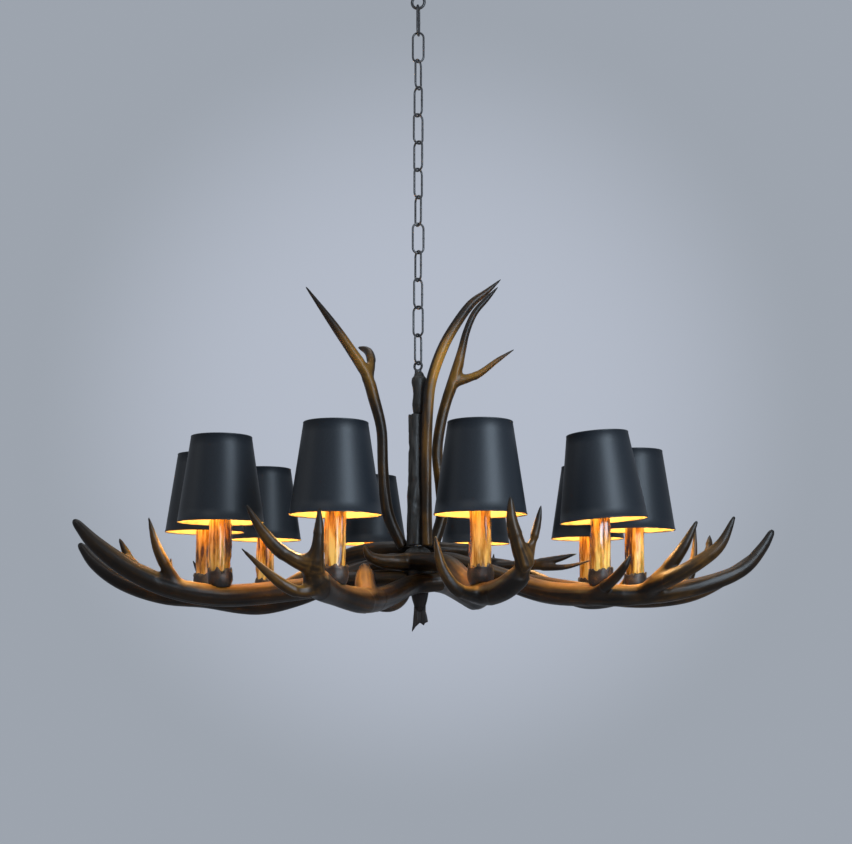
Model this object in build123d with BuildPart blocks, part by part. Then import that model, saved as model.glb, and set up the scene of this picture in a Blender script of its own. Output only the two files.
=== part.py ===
from build123d import *
from math import cos, radians, sin
import os

# Antler chandelier: ten shaded candles on a ring of cast antlers, hung on a welded link chain.
# Millimetres, +Z up.  The origin is the centre of the ceiling face, and the front is towards -Y.

# ---- ceiling fixing ----
canopy_radius = 60.0          # outside of the ceiling cup, at its rim
canopy_depth = 40.0           # ceiling to the underside of the cup
canopy_taper = 8.0            # how much smaller the cup's floor is, on the radius
canopy_wall = 1.5
canopy_sides = 32
canopy_lift_gap = 0.5         # rim of the cup to the ceiling
strap_length = 96.0
strap_width = 20.0
strap_thickness = 2.0
strap_drop = 15.0             # ceiling to the underside of the strap's raised middle
strap_middle = 40.0           # length of the raised middle
strap_offset = strap_thickness / 2
slot_spacing = 74.0           # between the two ceiling screws
slot_length = 12.0
slot_width = 5.0
nipple_radius = 5.0
nipple_bore = 3.0
nut_width = 15.0              # across the flats of the hexagon nuts
nut_height = 5.0
nut_washer = 2.0
fit_gap = 0.2                 # play all round between a tube and the hole that it passes
tube_sides = 10               # facets round rods, tubes and the holes that they pass
thread_run_out = 1.0          # bare thread past a nut
sink = 1.5                    # how far a forged ring runs into what carries it

# ---- chain ----
link_count = 13
link_length = 46.0            # outside
link_width = 18.4             # outside
link_wire = 3.0               # diameter
link_sides = 6                # facets round the wire
link_bend_steps = 4           # facets round each end of a link
link_gap = 0.3                # play where two links hang in each other
link_twists = (80, -5, 60, -47, 37, -43, 47, -59, 11, -59, 43, -32, 56)
loop_wire = 4.0               # the ring under the canopy
loop_radius = 9.0             # of the wire's centre line
loop_steps = 12
loop_sides = 8
collar_radius = 8.0           # the ring nut under the cup
collar_height = 6.0
shank_radius = 6.5            # below the ring nut, down to the forged ring
shank_height = 22.0           # cup to the forged ring
eye_wire = 3.4                # the eye bolt on top of the column
eye_radius = 6.2
eye_steps = 10
eye_sides = 6
eye_shank = 12.0              # how far the eye bolt's shank reaches into the knob

# ---- column and hub; heights are above the datum, which is the level of the antlers' lowest bellies ----
knob_top = 352.0
column_top = 290.0
hub_top = 106.0
hub_bottom = 46.0
hub_radius = 26.0
column_radius = 11.0
column_foot = 13.5
column_shift = -3.0           # the bark column stands a little left of the rod inside it
knob_shift = 1.4
knob_sides = 9
column_sides = 11
hub_sides = 14
rod_radius = 5.0
rod_bore = 3.2
finial_sections = ((46.0, 2.3, 14.0), (34.0, 2.6, 12.2), (18.0, 2.8, 8.8))    # height, shift, radius
finial_sides = 8
tail_thickness = 8.0
tail_taper = 14.0             # degrees that the tail's faces lean in towards its edges
tail_outline = (
    (-6.0, 22.0), (-6.4, 12.0), (-7.5, 2.0), (-9.2, -15.7), (-3.2, -8.0), (2.8, -2.0), (8.3, -6.1),
    (10.3, -2.4), (14.7, -0.6), (13.6, 6.0), (11.7, 14.0), (11.5, 22.0),
)

# ---- candles ----
ring_radius = 299.0
candle_bearings = (-18.6, 14.5, 49.8, 85.0, 121.3, 162.3, -165.3, -128.0, -92.0, -56.3)
cup_seat = 43.5               # height of the flat that is ground on each antler
cup_height = 25.0
cup_radius = 16.5
cup_base = 12.0
cup_belly = 11.25             # height of the cup's widest level above its foot
cup_rim_draw = 1.5            # how much the cup draws in again at its rim
cup_floor = 5.0
cup_sides = 10
sleeve_radius = 12.5
sleeve_wall = 1.3
sleeve_length = 86.0
holder_radius = 10.6
holder_length = 30.0
holder_stand = 4.0            # how far the lamp holder stands above its sleeve
lamp_cap_radius = 7.0
lamp_cap_length = 16.0
lamp_radius = 17.5
lamp_length = 82.0
lamp_sides = 8
lamp_form = ((0.0, 0.4), (0.146, 0.6), (0.366, 1.0), (0.537, 0.949), (0.756, 0.571), (1.0, 0.091))
# shares of the lamp's length and radius, from its cap up to its tip

# ---- shades ----
shade_bottom = 125.0
shade_height = 110.0
shade_bottom_radius = 55.0
shade_top_radius = 38.0
shade_wall = 1.0
shade_sides = 18
clip_height = 62.0            # hoop above the shade's lower rim
clip_section = 2.0
clip_play = 0.6
clip_arms = 3
shade_tilts = (0, 0, 4, 0, 0, 0, 0, 0, 0, 0)

# ---- antlers ----
beam_sides = 8
tine_sides = 6
station_spacing = 49.0        # between the sections along a beam or tine
seat_bury = 10.5              # a beam's centre line runs this far below the cup's seat
seat_margin = 3.0             # ground flat beyond the cup all round


# Levels, measured down from the ceiling
collar_top = -canopy_depth
ring_centre = collar_top - shank_height - loop_radius - loop_wire / 2 + sink
bend_radius = (link_width - link_wire) / 2
link_span = link_length - link_wire
link_pitch = link_span - link_wire - link_gap
first_crown = ring_centre - loop_radius + (loop_wire + link_wire) / 2 + link_gap
last_crown = first_crown - link_pitch * (link_count - 1) - link_span
eye_crown = last_crown + (link_wire + eye_wire) / 2 + link_gap
eye_centre = eye_crown - eye_radius
datum = eye_centre - eye_radius - eye_wire / 2 + sink - knob_top


def export(piece, name):
    piece.label = name
    export_step(piece, f"parts/{name}.step")


def tube_outline(radius, mode=Mode.ADD):
    """The facetted section of a rod, a tube or a hole, for the sketch that is open."""
    RegularPolygon(radius=radius, side_count=tube_sides, mode=mode)


def frame_along(route, share, last_side):
    """Plane square to the route, turned as little as possible from the plane before it."""
    ahead = route % share
    side = last_side - ahead * last_side.dot(ahead)
    return Plane(origin=route @ share, x_dir=side.normalized(), z_dir=ahead)


def limb(points, sides):
    """A tapering limb: facetted sections along a smooth line through points of place and thickness."""
    places = [Vector(*point[:3]) for point in points]
    runs = [(b - a).length for a, b in zip(places, places[1:])]
    whole = sum(runs)
    marks = [sum(runs[:i]) / whole for i in range(len(places))]
    steps = max(2, round(whole / station_spacing))
    with BuildLine():
        route = Spline(*places)
    side = Vector(0.3, 0.5, 0.8)
    with BuildPart() as grown:
        for step in range(steps + 1):
            share = step / steps
            i = max(j for j in range(len(marks) - 1) if marks[j] <= share + 1e-9)
            blend = (share - marks[i]) / (marks[i + 1] - marks[i])
            thickness = points[i][3] + (points[i + 1][3] - points[i][3]) * blend
            plane = frame_along(route, share, side)
            side = plane.x_dir
            with BuildSketch(plane):
                RegularPolygon(radius=thickness, side_count=sides)
        loft(ruled=True)
    return grown.part


def candle_place(bearing):
    return (ring_radius * sin(radians(bearing)), -ring_radius * cos(radians(bearing)))


def route_point(bearing, share, side, height, thickness):
    """Share runs from 0 at the hub's face to 1 at the candle, side is square to that, to the right."""
    out = hub_radius + share * (ring_radius - hub_radius)
    turn = radians(bearing)
    x = out * sin(turn) + side * cos(turn)
    y = -out * cos(turn) + side * sin(turn)
    return (x, y, datum + height, thickness)


os.makedirs("parts", exist_ok=True)

# ---- ceiling strap: a bent steel bar with a slot at each end for the ceiling screws ----
strap_end = (strap_length - strap_thickness) / 2
with BuildPart() as ceiling_strap:
    with BuildSketch(Plane.XZ.offset(-strap_width / 2)):
        with BuildLine():
            Polyline(
                (-strap_end, -strap_offset),
                (-(strap_middle + strap_drop) / 2, -strap_offset),
                (-strap_middle / 2, -strap_drop + strap_offset),
                (strap_middle / 2, -strap_drop + strap_offset),
                ((strap_middle + strap_drop) / 2, -strap_offset),
                (strap_end, -strap_offset),
            )
            offset(amount=strap_offset, kind=Kind.INTERSECTION, side=Side.BOTH)
        make_face()
    extrude(amount=strap_width)
    with BuildSketch(Plane.XY):
        with Locations((-slot_spacing / 2, 0), (slot_spacing / 2, 0)):
            SlotOverall(slot_length, slot_width)
        tube_outline(nipple_radius + fit_gap)
    extrude(amount=strap_drop + strap_thickness, both=True, mode=Mode.SUBTRACT)
export(ceiling_strap.part, "ceiling_strap")

# ---- nipple: the threaded tube that carries everything, and its nut on the strap ----
nipple_top = -strap_drop + strap_thickness + nut_height + thread_run_out
nipple_end = collar_top - collar_height
with BuildPart() as nipple:
    with BuildSketch(Plane.XY.offset(nipple_end)):
        tube_outline(nipple_radius)
        tube_outline(nipple_bore, Mode.SUBTRACT)
    extrude(amount=nipple_top - nipple_end)
export(nipple.part, "nipple")

with BuildPart() as nipple_nut:
    with BuildSketch(Plane.XY.offset(-strap_drop + strap_thickness)):
        RegularPolygon(radius=nut_width / 2, side_count=6, major_radius=False)
        tube_outline(nipple_radius + fit_gap, Mode.SUBTRACT)
    extrude(amount=nut_height)
export(nipple_nut.part, "nipple_nut")

# ---- canopy: the cup that covers the strap ----
canopy_rim = -canopy_lift_gap
canopy_floor = -canopy_depth
with BuildPart() as canopy:
    for inset, low in ((0, canopy_floor), (canopy_wall, canopy_floor + canopy_wall)):
        with BuildSketch(Plane.XY.offset(low)):
            RegularPolygon(radius=canopy_radius - canopy_taper - inset, side_count=canopy_sides)
        with BuildSketch(Plane.XY.offset(canopy_rim)):
            RegularPolygon(radius=canopy_radius - inset, side_count=canopy_sides)
        loft(ruled=True, mode=Mode.SUBTRACT if inset else Mode.ADD)
    with BuildSketch(Plane.XY.offset(canopy_floor)):
        tube_outline(nipple_radius + fit_gap)
    extrude(amount=canopy_wall, mode=Mode.SUBTRACT)
export(canopy.part, "canopy")


# ---- canopy loop: a collar that screws up against the cup, with a forged ring below ----
def wire_ring(centre_z, radius, wire, turn, steps, sides):
    """A closed ring of wire, standing upright, facetted along and across."""
    corners = []
    for step in range(steps + 1):
        angle = radians(360 * step / steps + 180 / steps)
        across = radius * cos(angle) / cos(radians(180 / steps))
        corners.append(
            (
                across * cos(radians(turn)),
                across * sin(radians(turn)),
                centre_z + radius * sin(angle) / cos(radians(180 / steps)),
            )
        )
    middle = (Vector(*corners[0]) + Vector(*corners[1])) / 2
    with BuildPart() as ring:
        with BuildLine():
            path = Polyline(middle, *corners[1:], middle)
        square = Vector(-sin(radians(turn)), cos(radians(turn)), 0)
        with BuildSketch(Plane(origin=middle, x_dir=square, z_dir=path % 0)):
            RegularPolygon(radius=wire / 2, side_count=sides)
        sweep(path=path, transition=Transition.RIGHT)
    return ring.part


loop_turn = link_twists[0] + 90
with BuildPart() as canopy_loop:
    for radius, height in ((collar_radius, collar_height), (shank_radius, shank_height)):
        with BuildSketch(Plane.XY.offset(collar_top)):
            tube_outline(radius)
        extrude(amount=-height)
    add(wire_ring(ring_centre, loop_radius, loop_wire, loop_turn, loop_steps, loop_sides))
    with BuildSketch(Plane.XY.offset(nipple_end)):
        tube_outline(nipple_radius + fit_gap)
    extrude(amount=collar_top - nipple_end, mode=Mode.SUBTRACT)
export(canopy_loop.part, "canopy_loop")


# ---- chain: welded links, each hung in the one above ----
def chain_link(top_crown, turn):
    """One closed link of bent wire: two straight legs joined by two half-round ends."""
    low = top_crown - link_span + bend_radius
    high = top_crown - bend_radius
    reach = bend_radius / cos(radians(90 / link_bend_steps))
    outline = []
    for centre_z, start in ((high, 0), (low, 180)):
        for step in range(link_bend_steps):
            angle = radians(start + 180 * (step + 0.5) / link_bend_steps)
            outline.append((reach * cos(angle), centre_z + reach * sin(angle)))
    across = Vector(cos(radians(turn)), sin(radians(turn)), 0)
    corners = [across * x + Vector(0, 0, z) for x, z in outline]
    weld = (corners[-1] + corners[0]) / 2
    with BuildPart() as link:
        with BuildLine():
            path = Polyline(weld, *corners, weld)
        with BuildSketch(Plane(origin=weld, x_dir=across, z_dir=path % 0)):
            RegularPolygon(radius=link_wire / 2, side_count=link_sides)
        sweep(path=path, transition=Transition.RIGHT)
    return link.part


for index in range(link_count):
    export(chain_link(first_crown - index * link_pitch, link_twists[index]), f"chain_link_{index + 1:02d}")

# ---- column: eye bolt, burr knob, bark sleeve, and the steel rod that runs down through them ----
rod_top = datum + knob_top - eye_shank
with BuildPart() as column_eye:
    add(wire_ring(eye_centre, eye_radius, eye_wire, link_twists[-1] + 90, eye_steps, eye_sides))
    with BuildSketch(Plane.XY.offset(rod_top)):
        tube_outline(rod_radius)
    extrude(amount=eye_shank + sink)
export(column_eye.part, "column_eye")

nut_stack = hub_bottom - nut_height - thread_run_out
with BuildPart() as centre_rod:
    with BuildSketch(Plane.XY.offset(datum + nut_stack)):
        tube_outline(rod_radius)
        tube_outline(rod_bore, Mode.SUBTRACT)
    extrude(amount=rod_top - datum - nut_stack)
export(centre_rod.part, "centre_rod")


def burr(sections, shift, sides, bore_low, bore_high, turn=0.0):
    """A knotty upright form through facetted sections, bored for the rod."""
    with BuildPart() as knotty:
        for height, radius in sections:
            with BuildSketch(Plane.XY.offset(datum + height)):
                with Locations((shift, 0)):
                    RegularPolygon(radius=radius, side_count=sides, rotation=turn)
        loft(ruled=True)
        with BuildSketch(Plane.XY.offset(datum + bore_low)):
            tube_outline(rod_radius + fit_gap)
        extrude(amount=bore_high - bore_low, mode=Mode.SUBTRACT)
    return knotty.part


knob_sections = (
    (column_top, 8.0),
    (column_top + 14, 10.5),
    (column_top + 30, 9.0),
    (column_top + 46, 11.2),
    (knob_top, 7.5),
)
burr_knob = burr(knob_sections, knob_shift, knob_sides, column_top, knob_top)
export(burr_knob, "burr_knob")

sleeve_sections = (
    (hub_top, column_foot),
    (hub_top + 70, column_foot - 0.8),
    (hub_top + 86, column_radius + 0.4),
    (hub_top + 130, column_radius - 0.4),
    (column_top, column_radius),
)
bark_column = burr(sleeve_sections, column_shift, column_sides, hub_top, column_top)
export(bark_column, "bark_column")

hub_sections = (
    (hub_bottom, hub_radius - 8),
    (hub_bottom + 10, hub_radius),
    (hub_top - 12, hub_radius),
    (hub_top, hub_radius - 1),
)
hub = burr(hub_sections, 0, hub_sides, hub_bottom, hub_top)
export(hub, "hub")

with BuildPart() as hub_nut:
    with BuildSketch(Plane.XY.offset(datum + hub_bottom - nut_height)):
        RegularPolygon(radius=nut_width / 2, side_count=6, major_radius=False)
        tube_outline(rod_radius + fit_gap, Mode.SUBTRACT)
    extrude(amount=nut_height)
export(hub_nut.part, "hub_nut")

# ---- finial: a burr that hides the nut and ends in a flat tail with three points ----
with BuildPart() as finial:
    for height, shift, radius in finial_sections:
        with BuildSketch(Plane.XY.offset(datum + height)):
            with Locations((shift, 0)):
                RegularPolygon(radius=radius, side_count=finial_sides)
    loft(ruled=True)
    with BuildSketch(Plane.XY.offset(datum + hub_bottom)):
        tube_outline(nut_width / 2 + nut_washer)
    extrude(amount=-nut_height - nut_washer, mode=Mode.SUBTRACT)
    with BuildSketch(Plane.XZ):
        with BuildLine():
            Polyline(*[(x, datum + height) for x, height in tail_outline], close=True)
        make_face()
    extrude(amount=tail_thickness / 2, both=True, taper=tail_taper)
export(finial.part, "finial")

# ---- candle cups, sleeves, lamp holders and lamps: one group of ten each ----
seat_level = datum + cup_seat
candle_places = [(*candle_place(bearing), seat_level) for bearing in candle_bearings]
sleeve_foot = cup_floor
sleeve_top = sleeve_foot + sleeve_length

with BuildPart() as cup:
    for height, radius in ((0, cup_base), (cup_belly, cup_radius), (cup_height, cup_radius - cup_rim_draw)):
        with BuildSketch(Plane.XY.offset(height)):
            RegularPolygon(radius=radius, side_count=cup_sides)
    loft(ruled=True)
    with BuildSketch(Plane.XY.offset(cup_floor)):
        tube_outline(sleeve_radius + fit_gap)
    extrude(amount=cup_height, mode=Mode.SUBTRACT)

with BuildPart() as sleeve:
    with BuildSketch(Plane.XY.offset(sleeve_foot)):
        tube_outline(sleeve_radius)
        tube_outline(sleeve_radius - sleeve_wall, Mode.SUBTRACT)
    extrude(amount=sleeve_length)

holder_foot = sleeve_top + holder_stand - holder_length
with BuildPart() as holder:
    with BuildSketch(Plane.XY.offset(holder_foot)):
        tube_outline(holder_radius)
    extrude(amount=holder_length)
    with BuildSketch(Plane.XY.offset(sleeve_top)):
        tube_outline(sleeve_radius)
    extrude(amount=holder_stand)
    with BuildSketch(Plane.XY.offset(sleeve_top + holder_stand)):
        tube_outline(lamp_cap_radius + fit_gap)
    extrude(amount=-lamp_cap_length, mode=Mode.SUBTRACT)

lamp_foot = sleeve_top + holder_stand
lamp_profile = [(height * lamp_length, radius * lamp_radius) for height, radius in lamp_form]
with BuildPart() as lamp:
    for height, radius in lamp_profile:
        with BuildSketch(Plane.XY.offset(lamp_foot + height)):
            RegularPolygon(radius=radius, side_count=lamp_sides)
    loft(ruled=True)
    with BuildSketch(Plane.XY.offset(lamp_foot)):
        tube_outline(lamp_cap_radius)
    extrude(amount=-lamp_cap_length)

for blank, name in ((cup, "candle_cups"), (sleeve, "candle_sleeves"), (holder, "lamp_holders"), (lamp, "lamps")):
    with BuildPart() as group:
        with Locations(*candle_places):
            add(blank.part)
    export(group.part, name)

# ---- shades: a tapered drum with a wire hoop that grips the lamp's upper half ----
hoop_level = shade_bottom + clip_height - cup_seat
hoop_rise = hoop_level - lamp_foot
bands = zip(lamp_profile, lamp_profile[1:])
(h0, r0), (h1, r1) = next((low, high) for low, high in bands if low[0] <= hoop_rise <= high[0])
hoop_radius = r0 + (r1 - r0) * (hoop_rise - h0) / (h1 - h0) + clip_play
shade_foot = shade_bottom - cup_seat


def shade_radius(level):
    """Radius of the shade's outside at a level above its lower rim."""
    return shade_bottom_radius + (shade_top_radius - shade_bottom_radius) * level / shade_height


with BuildPart() as shade:
    for inset in (0, shade_wall):
        for level in (0, shade_height):
            with BuildSketch(Plane.XY.offset(shade_foot + level)):
                RegularPolygon(radius=shade_radius(level) - inset, side_count=shade_sides)
        loft(ruled=True, mode=Mode.SUBTRACT if inset else Mode.ADD)
    with BuildSketch(Plane.XY.offset(hoop_level)):
        RegularPolygon(hoop_radius + clip_section, lamp_sides)
        RegularPolygon(hoop_radius, lamp_sides, mode=Mode.SUBTRACT)
    extrude(amount=clip_section)
    arm_start = hoop_radius + clip_section / 2
    arm_end = shade_radius(clip_height) - shade_wall / 2
    with BuildSketch(Plane.XY.offset(hoop_level)):
        with PolarLocations((arm_start + arm_end) / 2, clip_arms):
            Rectangle(arm_end - arm_start, clip_section)
    extrude(amount=clip_section)

for index, (place, tilt) in enumerate(zip(candle_places, shade_tilts)):
    pivot = Location((place[0], place[1], place[2] + hoop_level), (0, -tilt, 0))
    with BuildPart() as hung_shade:
        with Locations(pivot * Location((0, 0, -hoop_level))):
            add(shade.part)
    export(hung_shade.part, f"shade_{index + 1:02d}")

# ---- antlers: the branching beams that carry the candles, coped where they meet the hub ----
seat = (1.0, 0, cup_seat - seat_bury, 14.5)
ring_antlers = (
    ("antler_front_left", 0, (
        ((-0.04, 41, 55, 13), (0.06, 6, 50, 14), (0.37, 3, 34, 15), (0.72, 8, 26, 16.5), seat,
         (1.20, 1, 44, 17), (1.26, 2, 62, 14)),
        ((1.25, 4, 62, 13), (1.29, -12, 68, 10.5), (1.33, -31, 81, 8.5), (1.36, -48, 102, 6.5),
         (1.38, -65, 131, 2)),
        ((1.25, 4, 60, 13), (1.27, 9, 83, 9), (1.27, 11, 105, 6), (1.26, 10, 129, 2)),
        ((1.19, 4, 44, 11), (1.26, -6, 33, 8.5), (1.32, -22, 39, 7.5), (1.36, -43, 57, 5),
         (1.40, -68, 82, 1.5)),
        ((0.70, 8, 30, 14), (0.63, -2, 46, 14), (0.59, -6, 60, 12.5), (0.575, -9, 74, 8)),
    )),
    ("antler_front_right", 1, (
        ((-0.01, -81, 104, 2.5), (-0.01, -76, 91, 6.5), (-0.01, -62, 84, 9), (-0.02, -36, 82, 11.5),
         (-0.02, -10, 83, 13), (0.27, 13, 76, 13), (0.65, 9, 50, 14), seat, (1.18, 13, 38, 14),
         (1.27, 32, 60, 13)),
        ((1.27, 32, 60, 12.5), (1.29, 20, 86, 10), (1.29, 13, 112, 7), (1.29, 11, 140, 2.5)),
        ((1.26, 30, 62, 11), (1.27, 39, 90, 6), (1.27, 45, 112, 4.5), (1.27, 49, 132, 1.5)),
        ((1.04, -3, 30, 11), (1.11, -36, 36, 8.5), (1.12, -53, 56, 7), (1.12, -60, 77, 5),
         (1.11, -63, 98, 2)),
    )),
    ("antler_right", 2, (
        ((-0.01, 2, 86, 11), (0.13, 3, 82, 12), (0.43, 2, 58, 14), (0.71, -4, 38, 15), seat,
         (1.21, 28, 34, 13), (1.38, 67, 45, 11), (1.51, 101, 64, 9), (1.58, 118, 90, 7), (1.62, 128, 114, 4)),
        ((1.13, 22, 34, 11), (1.33, 8, 51, 10), (1.46, 19, 71, 9), (1.54, 32, 92, 7), (1.59, 42, 126, 2.5)),
        ((1.22, 14, 44, 10), (1.31, 15, 64, 9), (1.38, 21, 90, 7), (1.43, 31, 122, 2.5)),
        ((1.47, 28, 75, 7), (1.45, 48, 88, 6), (1.43, 62, 106, 2)),
        ((0.94, -5, 30, 9), (1.10, -18, 50, 7), (1.18, -23, 68, 5), (1.20, -18, 83, 1.5)),
    )),
    ("antler_right_rear", 3, (
        ((-0.02, 0, 58, 12), (0.10, 0, 60, 12), (0.38, -4, 56, 13), (0.71, -3, 42, 14), seat,
         (1.26, 4, 38, 12), (1.46, 12, 62, 9.5), (1.60, 18, 90, 6.5), (1.70, 23, 120, 2)),
        ((1.19, 4, 36, 9), (1.27, 12, 60, 7.5), (1.30, 18, 92, 5), (1.31, 22, 135, 1.5)),
        ((0.83, -3, 38, 9), (0.86, 18, 62, 6.5), (0.86, 28, 90, 1.5)),
    )),
    ("antler_back_right", 4, (
        ((0.00, 5, 74, 11), (0.11, 10, 75, 12), (0.44, 10, 80, 13), (0.76, 8, 52, 14), seat,
         (1.27, -4, 42, 12), (1.50, -7, 72, 8), (1.63, -10, 110, 1.5)),
        ((0.39, 7, 78, 10), (0.54, -33, 84, 7), (0.64, -53, 90, 5.5), (0.73, -69, 98, 1.5)),
        ((0.50, -22, 80, 7), (0.65, -62, 78, 4.5), (0.78, -84, 88, 1.5)),
        ((1.18, -4, 40, 9), (1.20, -28, 66, 6.5), (1.21, -39, 95, 1.5)),
    )),
    ("antler_back", 5, (
        ((-0.02, 0, 56, 11), (0.12, 0, 56, 12), (0.48, 3, 52, 13), (0.77, 0, 40, 14), seat, (1.25, 0, 45, 12),
         (1.44, 5, 78, 8), (1.55, 9, 118, 1.5)),
        ((1.19, 2, 42, 9), (1.33, -22, 62, 6.5), (1.43, -40, 98, 1.5)),
        ((0.63, 1, 48, 9), (0.69, -31, 66, 6.5), (0.74, -54, 92, 1.5)),
    )),
    ("antler_back_left", 6, (
        ((-0.02, 5, 76, 11), (0.11, 12, 74, 12), (0.45, 11, 58, 13), (0.75, 8, 40, 14), seat,
         (1.27, -2, 46, 12), (1.45, -3, 80, 8), (1.56, -3, 120, 1.5)),
        ((1.21, -2, 42, 9), (1.34, 27, 64, 6.5), (1.43, 46, 100, 1.5)),
        ((0.59, 8, 48, 9), (0.66, 41, 66, 6.5), (0.72, 64, 92, 1.5)),
        ((0.20, 4, 68, 8), (0.31, -11, 50, 7), (0.37, -12, 36, 6.5), (0.47, -7, 24, 6), (0.60, 5, 20, 5.5),
         (0.71, 33, 28, 4.5), (0.78, 52, 42, 2)),
    )),
    ("antler_left_rear", 7, (
        ((-0.22, -73, 100, 11), (-0.01, -29, 102, 13), (0.29, 3, 98, 13), (0.66, 3, 66, 14), seat,
         (1.23, 9, 38, 12), (1.39, 23, 62, 8), (1.47, 32, 97, 1.5)),
        ((1.16, 7, 36, 8), (1.29, 35, 58, 6), (1.36, 50, 98, 1.5)),
        ((0.79, -1, 50, 9), (0.81, -36, 70, 6.5), (0.83, -63, 96, 1.5)),
    )),
    ("antler_left", 8, (
        ((-0.02, 1, 84, 12), (0.09, 0, 80, 13), (0.31, 4, 58, 13), (0.51, 4, 36, 14), (0.73, 3, 24, 15), seat,
         (1.22, -5, 38, 13.5), (1.43, -13, 56, 12.5), (1.58, -20, 82, 10.5), (1.68, -25, 112, 5)),
        ((1.15, -2, 36, 9), (1.20, -28, 58, 7), (1.21, -43, 92, 1.5)),
        ((0.78, 2, 26, 8), (0.86, 37, 44, 6), (0.91, 50, 72, 1.5)),
    )),
    ("antler_left_front", 9, (
        ((-0.01, 2, 58, 12), (0.11, 1, 58, 13), (0.35, 1, 52, 14), (0.66, 1, 40, 15), seat,
         (1.23, -16, 44, 14), (1.39, -36, 66, 13), (1.52, -54, 95, 10.5), (1.61, -71, 127, 5)),
        ((1.19, -13, 44, 10), (1.26, -9, 72, 8), (1.30, -11, 96, 6), (1.33, -16, 130, 1.5)),
        ((1.34, -33, 60, 8), (1.38, -49, 84, 6), (1.41, -58, 105, 2)),
    )),
)
crown_antlers = (
    ("antler_crown_left", (
        ((-21, 11, 104, 8.5), (-42, 6, 150, 9), (-49, 4, 211, 8), (-51, 2, 267, 8), (-61, 0, 309, 8.5),
         (-72, -2, 345, 9), (-94, -6, 380, 7.5), (-120, -8, 418, 6), (-158, -10, 470, 1.5)),
        ((-70, 0, 340, 8), (-66, 6, 364, 7), (-71, 22, 384, 6.5), (-86, 36, 393, 2.5)),
    )),
    ("antler_crown_centre", (
        ((13, -18, 104, 7.5), (12, -16, 170, 7.5), (12, -16, 230, 7.5), (14, -17, 296, 8), (19, -18, 336, 8),
         (34, -16, 380, 8), (52, -14, 413, 7.5), (74, -12, 444, 6.5), (96, -10, 462, 4.5),
         (117, -8, 481, 1.2)),
    )),
    ("antler_crown_right", (
        ((21, 12, 104, 8.5), (34, 24, 150, 9), (32, 26, 190, 8.5), (27, 26, 239, 8), (32, 26, 281, 8),
         (41, 26, 316, 8), (53, 26, 350, 9), (62, 28, 386, 6.5), (69, 28, 414, 5.5), (81, 30, 442, 5),
         (99, 32, 463, 4), (115, 34, 481, 1.2)),
        ((50, 26, 340, 8), (70, 26, 346, 7.5), (88, 24, 353, 5.5), (112, 22, 371, 4), (137, 20, 387, 1.2)),
    )),
)


def antler(limbs, cuts):
    """A beam with its tines, fused into one casting and coped to what it lies against."""
    with BuildPart() as casting:
        for grown in limbs:
            add(grown)
        for tool in cuts:
            add(tool, mode=Mode.SUBTRACT)
    return casting.part


laid_before = hub
for name, candle, limbs in ring_antlers:
    bearing = candle_bearings[candle]
    grown = []
    for number, points in enumerate(limbs):
        placed = [route_point(bearing, *point) for point in points]
        grown.append(limb(placed, tine_sides if number else beam_sides))
    x, y = candle_place(bearing)
    with BuildPart() as seat_cut:
        with BuildSketch(Plane.XY.offset(seat_level)):
            with Locations((x, y)):
                RegularPolygon(radius=cup_radius + seat_margin, side_count=hub_sides)
        extrude(amount=cup_height)
    laid_before = antler(grown, (hub, seat_cut.part, laid_before))
    export(laid_before, name)

for name, limbs in crown_antlers:
    grown = []
    for number, points in enumerate(limbs):
        placed = [(x, y, datum + height, thickness) for x, y, height, thickness in points]
        grown.append(limb(placed, tine_sides if number else beam_sides))
    export(antler(grown, (hub, bark_column)), name)
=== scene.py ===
import math

import bmesh
import bpy
import numpy as np
from mathutils import Matrix, Vector, noise


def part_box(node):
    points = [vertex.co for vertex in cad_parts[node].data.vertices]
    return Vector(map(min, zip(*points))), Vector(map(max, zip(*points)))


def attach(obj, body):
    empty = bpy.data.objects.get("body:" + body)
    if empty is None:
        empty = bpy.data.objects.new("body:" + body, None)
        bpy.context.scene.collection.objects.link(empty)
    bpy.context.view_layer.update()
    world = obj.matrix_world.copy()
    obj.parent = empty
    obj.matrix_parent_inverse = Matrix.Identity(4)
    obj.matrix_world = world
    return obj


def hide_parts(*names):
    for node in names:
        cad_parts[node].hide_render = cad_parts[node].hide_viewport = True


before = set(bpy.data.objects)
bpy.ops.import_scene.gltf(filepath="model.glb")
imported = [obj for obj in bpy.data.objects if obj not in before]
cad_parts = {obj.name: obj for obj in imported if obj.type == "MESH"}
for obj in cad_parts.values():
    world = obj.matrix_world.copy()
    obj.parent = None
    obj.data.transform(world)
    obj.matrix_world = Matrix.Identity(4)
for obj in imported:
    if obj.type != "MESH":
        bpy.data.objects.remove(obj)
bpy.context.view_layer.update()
scene = bpy.context.scene
scene.view_settings.view_transform = "Standard"

# The camera stands level with the antlers' bellies, about 1.8 m in front of the column,
# and is tipped up a little so that the chain runs out at the top of the picture.
hub_over_bellies = 0.046
belly_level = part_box("hub")[0].z - hub_over_bellies
camera_distance = 1.808
camera_right = 0.0111
camera_tip = 3.92
camera_data = bpy.data.cameras.new("camera")
camera_data.lens = 54.96
camera_data.sensor_width = 36.0
camera_data.shift_y = 0.13
camera = bpy.data.objects.new("camera", camera_data)
camera.location = (camera_right, -camera_distance, belly_level)
camera.rotation_euler = (math.radians(90 + camera_tip), 0, 0)
scene.collection.objects.link(camera)
scene.camera = camera


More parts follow.
